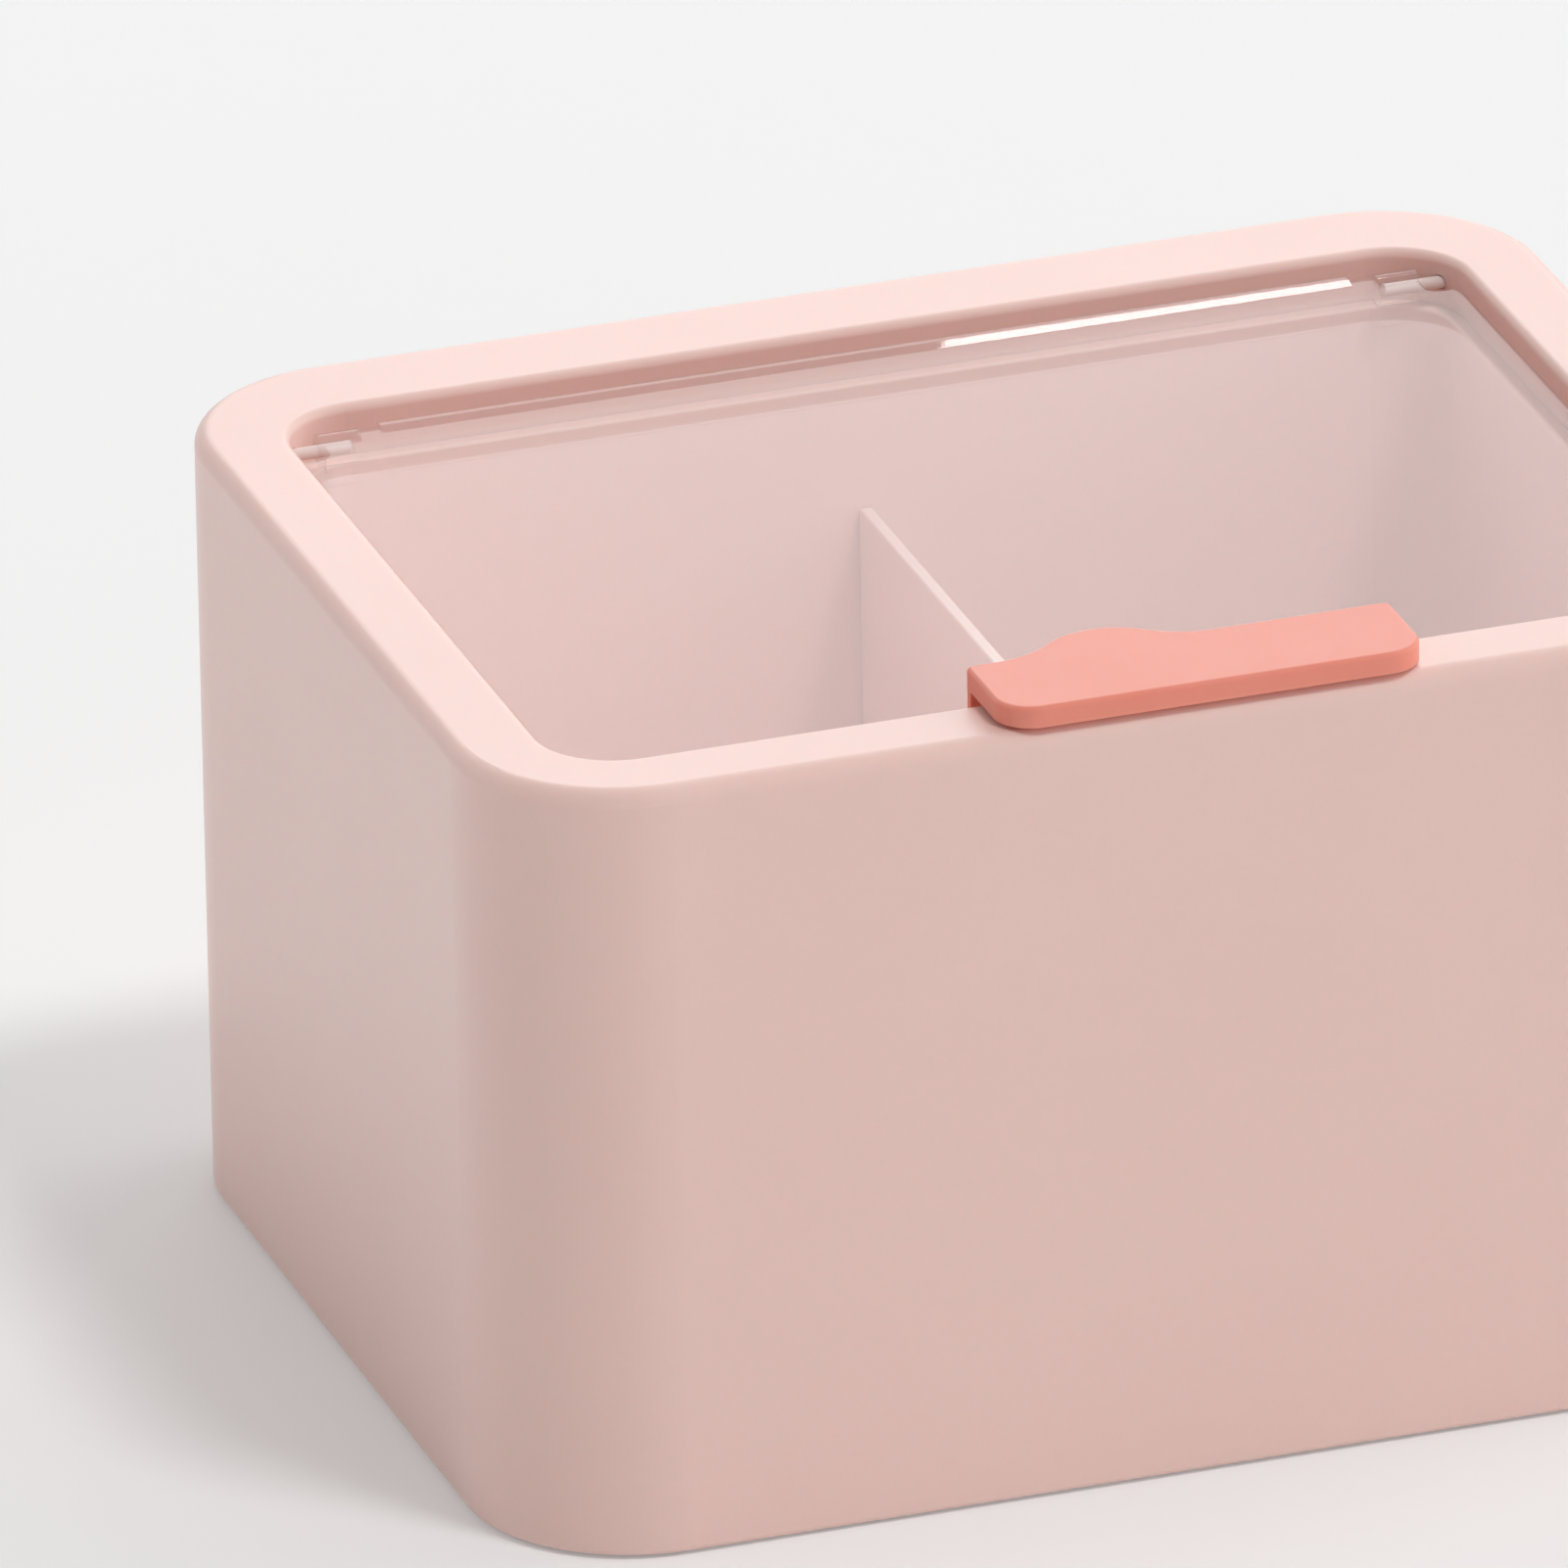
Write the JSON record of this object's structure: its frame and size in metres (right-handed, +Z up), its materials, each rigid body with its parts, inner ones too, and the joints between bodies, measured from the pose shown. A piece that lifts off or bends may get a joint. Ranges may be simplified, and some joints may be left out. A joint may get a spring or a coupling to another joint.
{
  "type": "lipstick organizer",
  "caption": "Rounded rectangular box for standing lipsticks, with a wide soft rim, a clear lid hinged inside the rim at the back, a pull tab at the lid's front and a lift-out divider.",
  "frame": {"origin": "on the surface that the feet stand on, under the middle of the box", "axes": "+X to the right seen from the front, +Y from the front to the hinged back, +Z up"},
  "size_m": [0.16, 0.1274, 0.0962],
  "materials": {
    "shell_pink": "soft satin pink moulding",
    "base_pink": "matt pink moulding",
    "tray_pink": "soft satin pink moulding",
    "divider_pink": "satin moulding, a lighter pink",
    "lid_clear": "clear, polished",
    "tab_coral": "satin coral moulding",
    "screw_steel": "plain steel",
    "pin_nylon": "natural nylon, satin",
    "bush_plastic": "plain white plastic",
    "bumper_soft": "soft matt strip",
    "foot_rubber": "matt rubber"
  },
  "bodies": {
    "box": {"outer_shell": "shell_pink", "base_plate": "base_pink", "base_screws": "screw_steel", "inner_tray": "tray_pink", "hinge_pin_left": "pin_nylon", "hinge_bush_left": "bush_plastic", "lid_bumper_left": "bumper_soft", "foot_front_left": "foot_rubber", "foot_back_left": "foot_rubber", "hinge_pin_right": "pin_nylon", "hinge_bush_right": "bush_plastic", "lid_bumper_right": "bumper_soft", "foot_front_right": "foot_rubber", "foot_back_right": "foot_rubber"},
    "lid": {"lid_panel": "lid_clear", "pull_tab": "tab_coral", "tab_screws": "screw_steel"},
    "divider": {"divider": "divider_pink"}
  },
  "joints": [
    {"name": "lid_hinge", "type": "hinge", "parent": "box", "child": "lid", "pos_m": [0, 0.04635, 0.09], "axis": [-1, 0, 0], "range_deg": [0, 110]},
    {"name": "divider_lift", "type": "slide", "parent": "box", "child": "divider", "axis": [0, 0, 1], "range_m": [0, 0.015]}
  ]
}
